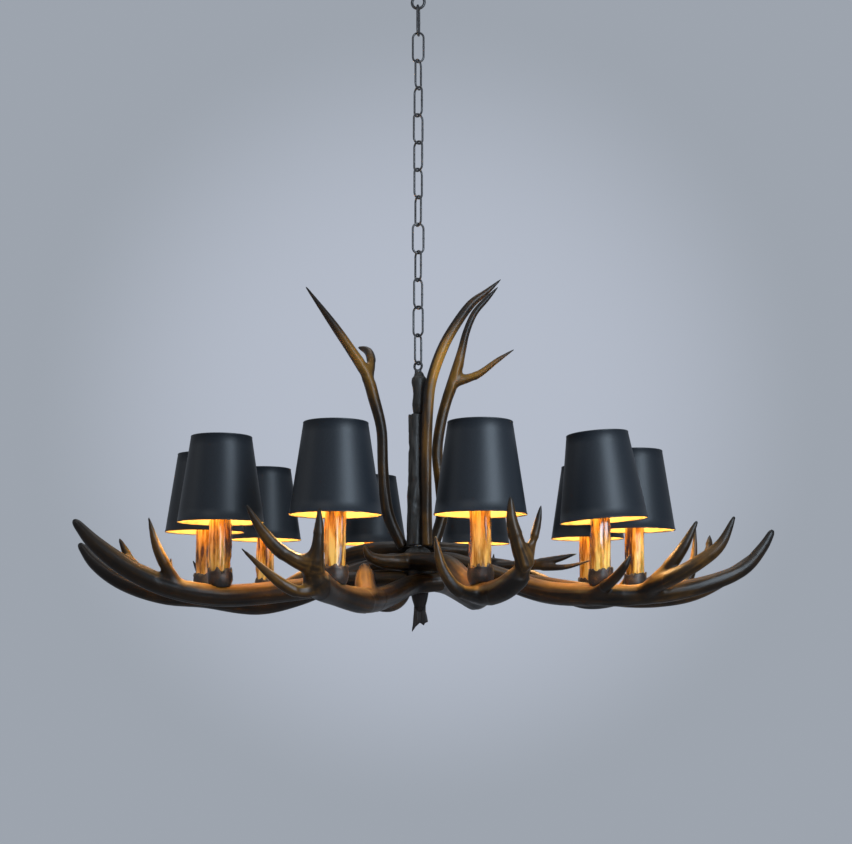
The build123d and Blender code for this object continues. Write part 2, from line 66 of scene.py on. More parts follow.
# The antlers are cast resin, copied from shed stag antlers: a thick beam with long grooves that
# branches into smooth tines.  Each runs from the hub, carries its candle and rises to its tips.
def smooth_route(points, spacing, blunt=False):
    """Places and thicknesses along a smooth line through the points, with a round or a blunt end."""
    rows = [Vector(point) for point in points]
    rows = [rows[0] * 2 - rows[1]] + rows + [rows[-1] * 2 - rows[-2]]
    route = []
    for a, b, c, d in zip(rows, rows[1:], rows[2:], rows[3:]):
        steps = max(2, round((c - b).length / spacing))
        for step in range(steps):
            t = step / steps
            bend = a * 2 - b * 5 + c * 4 - d
            twist = b * 3 - a - c * 3 + d
            route.append((b * 2 + (c - a) * t + bend * t ** 2 + twist * t ** 3) / 2)
    end = rows[-2]
    if blunt:
        return route + [end]
    back = (route[-1] - end).to_3d().normalized()
    while (route[-1] - end).to_3d().length < end.w:
        route.pop()
    for angle in (0, 25, 50, 70, 84):
        turn = math.radians(angle)
        spot = end.to_3d() + back * end.w * (1 - math.sin(turn))
        route.append(Vector((*spot, end.w * math.cos(turn))))
    return route


def ring_frames(route):
    """A matrix at each station, its Z along the route, turned as little as possible on the way."""
    places = [row.to_3d() for row in route]
    side = Vector((0.31, 0.52, 0.79))  # along no limb, so that it always has a part across one
    frames = []
    for i, place in enumerate(places):
        ahead = (places[min(i + 1, len(places) - 1)] - places[max(i - 1, 0)]).normalized()
        side = (side - ahead * side.dot(ahead)).normalized()
        up = ahead.cross(side)
        turned = Matrix((side, up, ahead)).transposed().to_4x4()
        frames.append(Matrix.Translation(place) @ turned)
    return frames


def add_limb(bm, route, segments):
    """A closed tapering tube: a ring at each station, bridged to the ring before."""
    frames = ring_frames(route)
    last = None
    for i, (row, placed) in enumerate(zip(route, frames)):
        made = bmesh.ops.create_circle(
            bm, cap_ends=i in (0, len(route) - 1), segments=segments, radius=row.w, matrix=placed
        )
        ring = {edge for vert in made["verts"] for edge in vert.link_edges}
        if last:
            bmesh.ops.bridge_loops(bm, edges=list(last | ring))
        last = ring
    return frames


def new_object(name, bm, *materials):
    mesh = bpy.data.meshes.new(name)
    bm.to_mesh(mesh)
    bm.free()
    made = bpy.data.objects.new(name, mesh)
    scene.collection.objects.link(made)
    for material in materials:
        mesh.materials.append(material)
    mesh.shade_smooth()
    return made


def fused(made, voxel):
    """Grows overlapping limbs into one skin, so that the forks are filled like a casting."""
    remesh = made.modifiers.new("fuse", "REMESH")
    remesh.mode = "VOXEL"
    remesh.voxel_size = voxel
    skin = bpy.data.meshes.new_from_object(
        made.evaluated_get(bpy.context.evaluated_depsgraph_get())
    )
    made.modifiers.clear()
    materials = list(made.data.materials)
    made.data = skin
    skin.materials.clear()
    for material in materials:
        skin.materials.append(material)
    return made


def smoothed(bm, verts, turns):
    for _ in range(turns):
        bmesh.ops.smooth_vert(bm, verts=verts, factor=0.5, use_axis_x=True, use_axis_y=True, use_axis_z=True)


def beside_limb(places, route, frames):
    """For each place, read between the two nearest stations of a limb: how far it belongs to the
    limb, where it lies across and along it, and the limb's thickness there and whole length."""
    centres = np.array([m.translation for m in frames])
    turns = np.array([m.to_3x3().transposed() for m in frames])
    radii = np.array([row.w for row in route])
    lengths = np.concatenate(([0], np.cumsum(np.linalg.norm(np.diff(centres, axis=0), axis=1))))
    near = np.argmin((centres ** 2).sum(axis=1) - 2 * places @ centres.T, axis=1)
    beyond = ((places - centres[near]) * turns[near, 2]).sum(axis=1)
    beside = np.clip(near + np.where(beyond > 0, 1, -1), 0, len(centres) - 1)
    step = np.linalg.norm(centres[beside] - centres[near], axis=1) + 1e-6
    part = np.clip(np.abs(beyond) / step, 0, 1)
    radius = radii[near] * (1 - part) + radii[beside] * part
    part = part[:, None]
    offset = places - centres[near] * (1 - part) - centres[beside] * part
    x = (offset * (turns[near, 0] * (1 - part) + turns[beside, 0] * part)).sum(axis=1)
    y = (offset * (turns[near, 1] * (1 - part) + turns[beside, 1] * part)).sum(axis=1)
    reach = np.hypot(x, y)
    away = np.abs(reach - radius) + np.maximum(0, np.abs(beyond) - 0.006)
    around = radius / np.maximum(reach, radius * 0.2)
    return 1 / (away + 0.0015) ** 3, x * around, y * around, lengths[near] + beyond, radius, lengths[-1]


def carve_antler(made, limbs, seed, groove_depth, lit_from, fades_over):
    """Webs in the forks, long grooves and small burrs over the skin, and three values kept for the
    colour: the groove's depth, the share of its limb a point has run, and painted lamplight, which
    is how a point faces the nearest lamp and faces up, and how near it is."""
    skin_turns, fork_turns, fork_reach = 6, 50, 2.4
    wide_grooves, fine_grooves = (180, 9, 2.2), (400, 16, 0.9)  # per metre across, along, and share
    deepest_groove, burr_height = 0.0016, 0.0015
    mesh = made.data
    bm = bmesh.new()
    bm.from_mesh(mesh)
    smoothed(bm, bm.verts, skin_turns)
    for route, _ in limbs[1:]:
        root = route[2].to_3d()
        fork = [vert for vert in bm.verts if (vert.co - root).length < route[2].w * fork_reach]
        smoothed(bm, fork, fork_turns)
    bm.normal_update()
    places = np.array([vert.co for vert in bm.verts])
    shares = [beside_limb(places, route, frames) for route, frames in limbs]
    total = sum(share[0] for share in shares)
    carved = np.zeros(len(places))
    runs = np.zeros(len(places))
    for number, (weight, x, y, along, radius, length) in enumerate(shares):
        weight = weight / total
        runs += weight * np.minimum(along / length, 1)
        for i in np.flatnonzero(weight > 0.02):
            ahead = number * 5 + seed
            ridges = 0
            for across, down, share in (wide_grooves, fine_grooves):
                spot = Vector((x[i] * across, y[i] * across, along[i] * down + ahead))
                ridges += abs(noise.noise(spot)) * share
            carved[i] += weight[i] * radius[i] * ridges
    groove = bm.verts.layers.float.new("groove")
    tip = bm.verts.layers.float.new("tip")
    painted_lamplight = bm.verts.layers.float.new("painted_lamplight")
    for i, vert in enumerate(bm.verts):
        rough = max(0, noise.noise(vert.co * 90 + Vector((seed, 0, 0))))
        burr = rough * max(0, 0.35 - runs[i]) * burr_height
        fade = 1 - 0.75 * max(0, (runs[i] - 0.6) / 0.4)
        depth = carved[i] * groove_depth * fade
        vert.co += vert.normal * (burr - depth)
        vert[groove] = min(1.0, depth / deepest_groove)
        vert[tip] = runs[i]
        # Painted lamplight: points that face a lamp, and points that face up, get a glow that fades with
        # distance from the lamp.
        to_lamp = min((lamp - vert.co for lamp in lit_from), key=lambda way: way.length)
        facing = max(0, vert.normal.dot(to_lamp.normalized()) * 0.8 + vert.normal.z * 0.35)
        vert[painted_lamplight] = facing * math.exp(-max(0, to_lamp.length - 0.06) / fades_over)
    smoothed(bm, bm.verts, 1)
    bm.to_mesh(mesh)
    bm.free()
    mesh.shade_smooth()


class Nodes:
    """Adds nodes to the tree of a material or of the world.  What feeds a node is a plain value or
    another node's output, and each way of adding one gives back its output."""

    def __init__(self, tree):
        self.tree = tree

    def feed(self, socket, value):
        if isinstance(value, bpy.types.NodeSocket):
            self.tree.links.new(value, socket)
        else:
            socket.default_value = value

    def add(self, kind, **values):
        node = self.tree.nodes.new(kind)
        for key, value in values.items():
            if key in node.inputs:
                self.feed(node.inputs[key], value)
            else:
                setattr(node, key, value)
        return node

    def kept(self, name):
        return self.add("ShaderNodeAttribute", attribute_name=name).outputs["Fac"]

    def noise(self, scale, detail, grain=0.5, stretch=1.0):
        """Noise over the object's coordinates, drawn out upright where stretch is under one."""
        spot = self.add("ShaderNodeTexCoord").outputs["Object"]
        drawn = self.add("ShaderNodeMapping", Vector=spot, Scale=(1.0, 1.0, stretch)).outputs["Vector"]
        pattern = self.add("ShaderNodeTexNoise", Vector=drawn, Scale=scale, Detail=detail, Roughness=grain)
        return pattern.outputs["Fac"]

    def math(self, operation, *terms):
        node = self.add("ShaderNodeMath", operation=operation)
        for socket, term in zip(node.inputs, terms):
            self.feed(socket, term)
        return node.outputs[0]

    def span(self, value, low, high, to_low=0.0, to_high=1.0, interpolation="LINEAR"):
        """The value's place between low and high, held there, as a place between two others."""
        ends = {"From Min": low, "From Max": high, "To Min": to_low, "To Max": to_high}
        node = self.add("ShaderNodeMapRange", Value=value, interpolation_type=interpolation, **ends)
        return node.outputs[0]

    def ramp(self, level, *stops):
        """A colour ramp through (place, colour) stops."""
        node = self.add("ShaderNodeValToRGB", Fac=level)
        elements = node.color_ramp.elements
        while len(elements) < len(stops):
            elements.new(0.5)
        for element, (place, colour) in zip(elements, stops):
            element.position = place
            element.color = (*colour, 1)
        return node.outputs["Color"]

    def mix(self, factor, *colours):
        node = self.add("ShaderNodeMix", data_type="RGBA")
        self.feed(node.inputs["Factor"], factor)
        for socket, colour in zip(node.inputs[6:8], colours):
            self.feed(socket, (*colour, 1) if isinstance(colour, tuple) else colour)
        return node.outputs[2]

    def bump(self, height, strength, distance):
        node = self.add("ShaderNodeBump", Strength=strength, Distance=distance, Height=height)
        return node.outputs["Normal"]


def new_finish(name, **values):
    """A new material, its Principled shader with some sockets set, and its nodes."""
    material = bpy.data.materials.new(name)
    material.use_nodes = True
    shader = material.node_tree.nodes["Principled BSDF"]
    for key, value in values.items():
        shader.inputs[key.replace("_", " ")].default_value = value
    return material, shader, Nodes(material.node_tree)


def antler_finish(name, dark, mid, gold, lamplight_gold, tip_colour):
    """Stain that is darkest in the grooves, painted lamplight in gold on the side facing a lamp, and dark
    tips.
    """
    material, shader, nodes = new_finish(name, Specular_IOR_Level=0.2)
    mottle = nodes.noise(14.0, 5.0, 0.6)
    stain = nodes.math("MULTIPLY_ADD", nodes.kept("groove"), 0.55, mottle)
    # Painted lamplight: gold laid over the stain where the skin faces a lamp, weaker in the grooves.
    lamplight_glow = nodes.math("MULTIPLY", nodes.kept("painted_lamplight"), nodes.math("SUBTRACT", 1.25, stain))
    skin = nodes.ramp(stain, (0.38, gold), (0.55, mid), (0.78, dark))
    skin = nodes.mix(nodes.span(lamplight_glow, 0.05, 0.42, 0.0, 0.9), skin, lamplight_gold)
    skin = nodes.mix(nodes.span(nodes.kept("tip"), 0.62, 1.0), skin, tip_colour)
    nodes.feed(shader.inputs["Base Color"], skin)
    nodes.feed(shader.inputs["Roughness"], nodes.span(mottle, 0.0, 1.0, 0.28, 0.5))
    nodes.feed(shader.inputs["Normal"], nodes.bump(nodes.noise(260.0, 3.0), 0.05, 0.001))
    return material


hub_radius = 0.026
ring_radius = 0.299
candle_bearings = (-18.6, 14.5, 49.8, 85.0, 121.3, 162.3, -165.3, -128.0, -92.0, -56.3)
antler_brown = antler_finish(
    "antler_resin", dark=(0.004, 0.0028, 0.002), mid=(0.022, 0.0105, 0.003), gold=(0.085, 0.038, 0.007),
    lamplight_gold=(0.33, 0.155, 0.020), tip_colour=(0.004, 0.0033, 0.003)
)


def ring_place(bearing, height):
    """The place at a height over a candle's bearing, which is turned from the front to the right."""
    turn = math.radians(bearing)
    return Vector((ring_radius * math.sin(turn), -ring_radius * math.cos(turn), height))


# Each row is the antler's name, its candle's number and its limbs.  A limb's points are the share
# of the way from the hub's face to the candle, then millimetres to the side and above the bellies,
# and the thickness there.
seat = (1.0, 0, 33, 14.5)
ring_antlers = (
    ("antler_front_left", 0, (
        ((-0.04, 41, 55, 13), (0.06, 6, 50, 14), (0.37, 3, 34, 15), (0.72, 8, 26, 16.5), seat,
         (1.20, 1, 44, 17), (1.26, 2, 62, 14)),
        ((1.25, 4, 62, 13), (1.29, -12, 68, 10.5), (1.33, -31, 81, 8.5), (1.36, -48, 102, 6.5),
         (1.38, -65, 131, 2)),
        ((1.25, 4, 60, 13), (1.27, 9, 83, 9), (1.27, 11, 105, 6), (1.26, 10, 129, 2)),
        ((1.19, 4, 44, 11), (1.26, -6, 33, 8.5), (1.32, -22, 39, 7.5), (1.36, -43, 57, 5),
         (1.40, -68, 82, 1.5)),
        ((0.70, 8, 30, 14), (0.63, -2, 46, 14), (0.59, -6, 60, 12.5), (0.575, -9, 74, 8)),
    )),
    ("antler_front_right", 1, (
        ((-0.01, -81, 104, 2.5), (-0.01, -76, 91, 6.5), (-0.01, -62, 84, 9), (-0.02, -36, 82, 11.5),
         (-0.02, -10, 83, 13), (0.27, 13, 76, 13), (0.65, 9, 50, 14), seat, (1.18, 13, 38, 14),
         (1.27, 32, 60, 13)),
        ((1.27, 32, 60, 12.5), (1.288, 20, 86, 10), (1.287, 13, 112, 7), (1.289, 11, 140, 2.5)),
        ((1.26, 30, 62, 11), (1.27, 39, 90, 6), (1.27, 45, 112, 4.5), (1.27, 49, 132, 1.5)),
        ((1.04, -3, 30, 11), (1.11, -36, 36, 8.5), (1.12, -53, 56, 7), (1.12, -60, 77, 5),
         (1.11, -63, 98, 2)),
    )),
    ("antler_right", 2, (
        ((-0.01, 2, 86, 11), (0.13, 3, 82, 12), (0.43, 2, 58, 14), (0.71, -4, 38, 15), seat,
         (1.21, 28, 34, 13), (1.38, 67, 45, 11), (1.51, 101, 64, 9), (1.58, 118, 90, 7), (1.62, 128, 114, 4)),
        ((1.13, 22, 34, 11), (1.33, 8, 51, 10), (1.46, 19, 71, 9), (1.54, 32, 92, 7), (1.59, 42, 126, 2.5)),
        ((1.22, 14, 44, 10), (1.31, 15, 64, 9), (1.38, 21, 90, 7), (1.43, 31, 122, 2.5)),
        ((1.47, 28, 75, 7), (1.45, 48, 88, 6), (1.43, 62, 106, 2)),
        ((0.94, -5, 30, 9), (1.10, -18, 50, 7), (1.18, -23, 68, 5), (1.20, -18, 83, 1.5)),
    )),
    ("antler_right_rear", 3, (
        ((-0.02, 0, 58, 12), (0.10, 0, 60, 12), (0.38, -4, 56, 13), (0.71, -3, 42, 14), seat,
         (1.26, 4, 38, 12), (1.46, 12, 62, 9.5), (1.60, 18, 90, 6.5), (1.70, 23, 120, 2)),
        ((1.19, 4, 36, 9), (1.27, 12, 60, 7.5), (1.30, 18, 92, 5), (1.31, 22, 135, 1.5)),
        ((0.83, -3, 38, 9), (0.86, 18, 62, 6.5), (0.86, 28, 90, 1.5)),
    )),
    ("antler_back_right", 4, (
        ((0.00, 5, 74, 11), (0.11, 10, 75, 12), (0.44, 10, 80, 13), (0.76, 8, 52, 14), seat,
         (1.27, -4, 42, 12), (1.50, -7, 72, 8), (1.63, -10, 110, 1.5)),
        ((0.39, 7, 78, 10), (0.54, -33, 84, 7), (0.64, -53, 90, 5.5), (0.73, -69, 98, 1.5)),
        ((0.50, -22, 80, 7), (0.65, -62, 78, 4.5), (0.78, -84, 88, 1.5)),
        ((1.18, -4, 40, 9), (1.20, -28, 66, 6.5), (1.21, -39, 95, 1.5)),
    )),
    ("antler_back", 5, (
        ((-0.02, 0, 56, 11), (0.12, 0, 56, 12), (0.48, 3, 52, 13), (0.77, 0, 40, 14), seat, (1.25, 0, 45, 12),
         (1.44, 5, 78, 8), (1.55, 9, 118, 1.5)),
        ((1.19, 2, 42, 9), (1.33, -22, 62, 6.5), (1.43, -40, 98, 1.5)),
        ((0.63, 1, 48, 9), (0.69, -31, 66, 6.5), (0.74, -54, 92, 1.5)),
    )),
    ("antler_back_left", 6, (
        ((-0.02, 5, 76, 11), (0.11, 12, 74, 12), (0.45, 11, 58, 13), (0.75, 8, 40, 14), seat,
         (1.27, -2, 46, 12), (1.45, -3, 80, 8), (1.56, -3, 120, 1.5)),
        ((1.21, -2, 42, 9), (1.34, 27, 64, 6.5), (1.43, 46, 100, 1.5)),
        ((0.59, 8, 48, 9), (0.66, 41, 66, 6.5), (0.72, 64, 92, 1.5)),
        ((0.20, 4, 68, 8), (0.31, -11, 50, 7), (0.37, -12, 36, 6.5), (0.47, -7, 24, 6), (0.60, 5, 20, 5.5),
         (0.71, 33, 28, 4.5), (0.78, 52, 42, 2)),
    )),
    ("antler_left_rear", 7, (
        ((-0.22, -73, 100, 11), (-0.01, -29, 102, 13), (0.29, 3, 98, 13), (0.66, 3, 66, 14), seat,
         (1.23, 9, 38, 12), (1.39, 23, 62, 8), (1.47, 32, 97, 1.5)),
        ((1.16, 7, 36, 8), (1.29, 35, 58, 6), (1.36, 50, 98, 1.5)),
        ((0.79, -1, 50, 9), (0.81, -36, 70, 6.5), (0.83, -63, 96, 1.5)),
    )),
    ("antler_left", 8, (
        ((-0.02, 1, 84, 12), (0.09, 0, 80, 13), (0.31, 4, 58, 13), (0.51, 4, 36, 14), (0.73, 3, 24, 15), seat,
         (1.22, -5, 38, 13.5), (1.43, -13, 56, 12.5), (1.58, -20, 82, 10.5), (1.68, -25, 112, 5)),
        ((1.15, -2, 36, 9), (1.20, -28, 58, 7), (1.21, -43, 92, 1.5)),
        ((0.78, 2, 26, 8), (0.86, 37, 44, 6), (0.91, 50, 72, 1.5)),
    )),
    ("antler_left_front", 9, (
        ((-0.01, 2, 58, 12), (0.11, 1, 58, 13), (0.35, 1, 52, 14), (0.66, 1, 40, 15), seat,
         (1.23, -16, 44, 14), (1.39, -36, 66, 13), (1.52, -54, 95, 10.5), (1.61, -71, 127, 5)),
        ((1.19, -13, 44, 10), (1.26, -9, 72, 8), (1.30, -11, 96, 6), (1.33, -16, 130, 1.5)),
        ((1.34, -33, 60, 8), (1.38, -49, 84, 6), (1.41, -58, 105, 2)),
    )),
)
# The three upright antlers stand on the hub beside the column, in plain millimetres from its axis.
crown_antlers = (
    ("antler_crown_left", (
        ((-21, 11, 104, 8.5), (-42, 6, 150, 9), (-49, 4, 211, 8), (-51, 2, 267, 8), (-61, 0, 309, 8.5),
         (-72, -2, 345, 9), (-94, -6, 380, 7.5), (-120, -8, 418, 6), (-158, -10, 470, 1.5)),
        ((-70, 0, 340, 8), (-66, 6, 364, 7), (-71, 22, 384, 6.5), (-86, 36, 393, 2.5)),
    )),
    ("antler_crown_centre", (
        ((13, -18, 104, 7.5), (12, -16, 170, 7.5), (12, -16, 230, 7.5), (14, -17, 296, 8), (19, -18, 336, 8),
         (34, -16, 380, 8), (52, -14, 413, 7.5), (74, -12, 444, 6.5), (96, -10, 462, 4.5),
         (117, -8, 481, 1.2)),
    )),
    ("antler_crown_right", (
        ((21, 12, 104, 8.5), (34, 24, 150, 9), (32, 26, 190, 8.5), (27, 26, 239, 8), (32, 26, 281, 8),
         (41, 26, 316, 8), (53, 26, 350, 9), (62, 28, 386, 6.5), (69, 28, 414, 5.5), (81, 30, 442, 5),
         (99, 32, 463, 4), (115, 34, 481, 1.2)),
        ((50, 26, 340, 8), (70, 26, 346, 7.5), (88, 24, 353, 5.5), (112, 22, 371, 4), (137, 20, 387, 1.2)),
    )),
)


def placed(point, bearing=None):
    """A point of a route in metres, from its antler's own bearing or from the axis."""
    across, side, height, thickness = point
    if bearing is None:
        x, y = across / 1000, side / 1000
    else:
        out = hub_radius + across * (ring_radius - hub_radius)
        turn = math.radians(bearing)
        x = out * math.sin(turn) + side / 1000 * math.cos(turn)
        y = -out * math.cos(turn) + side / 1000 * math.sin(turn)
    return (x, y, belly_level + height / 1000, thickness / 1000)


def grow_antler(name, limbs, seed, voxel, groove_depth, lit_from, fades_over):
    bm = bmesh.new()
    grown = []
    for number, points in enumerate(limbs):
        route = smooth_route(points, 0.007)
        grown.append((route, add_limb(bm, route, 14 if number else 20)))
    bmesh.ops.recalc_face_normals(bm, faces=bm.faces)
    made = fused(new_object(name + "_skin", bm, antler_brown), voxel)
    carve_antler(made, grown, seed, groove_depth, lit_from, fades_over)
    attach(made, "chandelier")
    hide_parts(name)


lamp_over_bellies = 0.15
lamp_places = [ring_place(bearing, belly_level + lamp_over_bellies) for bearing in candle_bearings]
for seed, (name, candle, limbs) in enumerate(ring_antlers):
    rows = [[placed(point, candle_bearings[candle]) for point in points] for points in limbs]
    grow_antler(name, rows, seed * 11.7, 0.0014, 0.038, lamp_places, 0.08)

# The crown gets painted lamplight in gold round its forks, laid from spots a little in front of each fork, on
# the side towards the front.
crown_tines = [points for name, limbs in crown_antlers for points in limbs[1:]]
forks = [Vector(placed(points[1])[:3]) + Vector((0, -0.095, 0)) for points in crown_tines]
for seed, (name, limbs) in enumerate(crown_antlers):
    rows = [[placed(point) for point in points] for points in limbs]
    grow_antler(name, rows, 200 + seed * 11.7, 0.0012, 0.05, forks, 0.025)


# The column is a steel tube inside a cast bark sleeve, with a burr knob on top, a knotty hub below
# and a tail-shaped finial.  All four are dark grey-brown resin with upright ridges and knots.
def bark_finish(name, dark, light, streak):
    material, shader, nodes = new_finish(name, Roughness=0.5, Specular_IOR_Level=0.25)
    grain = nodes.noise(150.0, 6.0, 0.65, stretch=0.22)
    ridges = nodes.ramp(grain, (0.38, dark), (0.62, light))
    nodes.feed(shader.inputs["Base Color"], nodes.mix(nodes.noise(38.0, 4.0), ridges, streak))
    nodes.feed(shader.inputs["Normal"], nodes.bump(grain, 0.45, 0.0015))
    return material


bark_brown = bark_finish("bark_resin", (0.005, 0.0045, 0.004), (0.050, 0.045, 0.041), (0.014, 0.012, 0.010))
finial_brown = bark_finish(
    "finial_resin", (0.003, 0.002, 0.002), (0.022, 0.013, 0.010), (0.008, 0.004, 0.0035)
)


def rough_bark(made, depth, ridges, seed):
    """Upright ridges round the form, and knots, both cut inwards."""
    bm = bmesh.new()
    bm.from_mesh(made.data)
    bm.normal_update()
    for vert in bm.verts:
        x, y, z = vert.co
        angle = math.atan2(y, x)
        spot = Vector((math.cos(angle) * ridges, math.sin(angle) * ridges, z * 18 + seed))
        knot = noise.noise(vert.co * 75 + Vector((seed, seed, 0)))
        vert.co += vert.normal * (min(0, noise.noise(spot)) * depth * 2 + min(0, knot) * depth)
    bm.to_mesh(made.data)
    bm.free()
    made.data.shade_smooth()


def bark_piece(name, node, sections, material, depth, seed, blunt=False):
    """An upright knotty form through (x, y, height, radius) sections."""
    bm = bmesh.new()
    add_limb(bm, smooth_route([placed(section) for section in sections], 0.006, blunt), 28)
    made = fused(new_object(name, bm, material), 0.0012)
    rough_bark(made, depth, 1.9, seed)
    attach(made, "chandelier")
    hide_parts(node)


bark_piece(
    "column_bark", "bark_column",
    ((-3, 0, 106, 13.2), (-3, 0, 140, 12.8), (-3, 0, 178, 12.4), (-3, 0, 192, 11.2), (-3, 0, 240, 10.6),
     (-3, 0, 290, 10.8)),
    bark_brown, 0.0014, 3.0, blunt=True
)
bark_piece(
    "knob_burr", "burr_knob",
    ((1.4, 0, 290, 8.0), (1.4, 0, 304, 10.3), (1.4, 0, 320, 8.9), (1.4, 0, 336, 11.0), (1.4, 0, 352, 7.5)),
    bark_brown, 0.0009, 9.0
)
bark_piece(
    "hub_burr", "hub",
    ((0, 0, 46, 17.5), (0, 0, 56, 25.2), (0, 0, 76, 25.6), (0, 0, 94, 25.4), (0, 0, 106, 24.4)),
    bark_brown, 0.0012, 15.0
)

neck = ((2.3, 0, 46, 13.4), (2.6, 0, 34, 11.6), (2.8, 0, 22, 8.2), (2.8, 0, 14, 6.0))
tail_outline = ((-5.4, 24), (-6.0, 12), (-7.1, 2), (-8.8, -15), (-3.2, -7.0), (2.8, -1.2), (8.2, -5.4),
                (10.2, -1.6), (14.2, -0.2), (13.1, 6), (11.2, 14), (10.8, 24))
tail_thickness = 0.0052
bm = bmesh.new()
add_limb(bm, smooth_route([placed(section) for section in neck], 0.004), 24)
tail = [bm.verts.new((x / 1000, -tail_thickness / 2, belly_level + z / 1000)) for x, z in tail_outline]
pulled = bmesh.ops.extrude_face_region(bm, geom=[bm.faces.new(tail)], use_keep_orig=True)
back = [vert for vert in pulled["geom"] if isinstance(vert, bmesh.types.BMVert)]
bmesh.ops.translate(bm, verts=back, vec=(0, tail_thickness, 0))
bmesh.ops.recalc_face_normals(bm, faces=bm.faces)
finial_tail = fused(new_object("finial_tail", bm, finial_brown), 0.0009)
rough_bark(finial_tail, 0.0007, 2.4, 21.0)
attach(finial_tail, "chandelier")
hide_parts("finial")


# The burr cups are short resin bowls with a ragged rim, screwed to the flat on each antler.
cup_seat = belly_level + 0.0435
candle_places = [ring_place(bearing, cup_seat) for bearing in candle_bearings]


def mottled_finish(name, scale, detail, *stops, grain=0.5, stretch=1.0, bump=None, **values):
    """Colours by a fine noise, which also gives the skin its bump (strength, depth in metres)."""
    material, shader, nodes = new_finish(name, **values)
    mottle = nodes.noise(scale, detail, grain, stretch)
    nodes.feed(shader.inputs["Base Color"], nodes.ramp(mottle, *stops))
    if bump:
        nodes.feed(shader.inputs["Normal"], nodes.bump(mottle, *bump))
    return material


cup_brown = mottled_finish(
    "burr_cup", 95.0, 6.0, (0.38, (0.006, 0.004, 0.003)), (0.60, (0.028, 0.013, 0.006)),
    (0.76, (0.14, 0.060, 0.018)), grain=0.7, bump=(0.5, 0.0015), Roughness=0.45
)


def turned(bm, profile, place, segments):
    """Spins a profile of (radius, height) in millimetres about an upright axis at the place."""
    verts = [bm.verts.new(place + Vector((r / 1000, 0, z / 1000))) for r, z in profile]
    edges = [bm.edges.new(pair) for pair in zip(verts, verts[1:])]
    bmesh.ops.spin(
        bm, geom=verts + edges, cent=place, axis=(0, 0, 1), angle=2 * math.pi, steps=segments, use_merge=True
    )
    bmesh.ops.remove_doubles(bm, verts=bm.verts, dist=0.00001)


def from_nearest(vert):
    """A point's offset from the candle that it belongs to, and that candle's place."""
    place = min(candle_places, key=lambda candle: (candle.xy - vert.co.xy).length)
    return vert.co - place, place


bm = bmesh.new()
cup_profile = ((0.01, 0), (12.2, 0), (13.4, 1.4), (15.0, 4.5), (15.9, 9), (15.9, 14), (15.3, 18.5),
               (15.5, 24.6), (14.8, 25.2), (13.4, 24.4), (13.0, 18), (12.9, 5.2), (0.01, 5.2))
for place in candle_places:
    turned(bm, cup_profile, place, 40)
cup_bore, rim_starts = 0.0128, 0.019
for vert in bm.verts:
    out, place = from_nearest(vert)
    if out.xy.length > cup_bore:
        burr = noise.noise(vert.co * 160) + 0.6 * noise.noise(vert.co * 330)
        vert.co += Vector((*out.xy, 0)).normalized() * min(0, burr) * 0.0016 * min(1, out.z / 0.004)
        if out.z > rim_starts:
            ragged = noise.noise(Vector((out.x * 230, out.y * 230, place.x * 50)))
            vert.co.z += (ragged - 0.5) * 0.0062 * (out.z - rim_starts) / 0.006
bmesh.ops.recalc_face_normals(bm, faces=bm.faces)
cups = new_object("burr_cups", bm, cup_brown)
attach(cups, "chandelier")
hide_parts("candle_cups")


# The candle sleeves are resin tubes coloured like old wax, with drips that have run down and set.
sleeve_amber = mottled_finish(
    "candle_sleeve", 130.0, 4.0, (0.40, (0.055, 0.016, 0.001)), (0.50, (0.40, 0.19, 0.012)),
    (0.62, (0.70, 0.48, 0.12)), grain=0.6, stretch=0.12, bump=(0.3, 0.001),
    Roughness=0.22, Coat_Weight=0.5, Coat_Roughness=0.12
)

bm = bmesh.new()
sleeve_rows = [(12.35, 5.1)] + [(12.35, 5 + i * 3.4) for i in range(1, 25)]
sleeve_rows += [(12.2, 90.6), (11.6, 91), (11.2, 90.4), (11.2, 60)]
for place in candle_places:
    turned(bm, sleeve_rows, place, 48)
sleeve_skin, drips_start = 0.0122, 0.024
for vert in bm.verts:
    out, place = from_nearest(vert)
    if out.xy.length > sleeve_skin and out.z > drips_start:
        angle = math.atan2(out.y, out.x)
        spot = Vector((math.cos(angle) * 2.2, math.sin(angle) * 2.2, place.x * 40))
        drip = noise.noise(spot + Vector((0, 0, out.z * 12)))
        low_end = 0.03 + 0.05 * abs(noise.noise(spot * 1.3))
        run = max(0, drip) * min(1, max(0, (out.z - low_end) / 0.006))
        flute = noise.noise(spot * 2.4 + Vector((0, 0, out.z * 5)))
        vert.co += Vector((*out.xy, 0)).normalized() * (run * 0.0032 + drip * 0.0004 + flute * 0.0011)
bmesh.ops.recalc_face_normals(bm, faces=bm.faces)
sleeves = new_object("wax_sleeves", bm, sleeve_amber)
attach(sleeves, "chandelier")
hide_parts("candle_sleeves")


# A plastic lamp holder closes the top of each sleeve, and a small frosted candle lamp screws into
# it.  The lamps are lit, and light the gold lining of the shades and the sleeves below.
holder_cream = mottled_finish(
    "holder_plastic", 300.0, 2.0, (0.3, (0.66, 0.60, 0.48)), (0.7, (0.78, 0.73, 0.62)), Roughness=0.4
)
lamp_glow = mottled_finish(
    "lamp_glass", 220.0, 3.0, (0.3, (0.92, 0.78, 0.55)), (0.7, (1.0, 0.9, 0.7)),
    Roughness=0.35, Emission_Color=(1.0, 0.72, 0.37, 1), Emission_Strength=110.0
)

bm = bmesh.new()
holder_rows = ((11.0, 65), (10.4, 66), (10.4, 91.1), (12.2, 91.3), (12.4, 91.8), (12.4, 94.4), (12.0, 94.9),
               (7.3, 94.9), (7.2, 94.4), (7.2, 80))
for place in candle_places:
    turned(bm, holder_rows, place, 40)
bmesh.ops.recalc_face_normals(bm, faces=bm.faces)
holders = new_object("holder_rings", bm, holder_cream)
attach(holders, "chandelier")
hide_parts("lamp_holders")

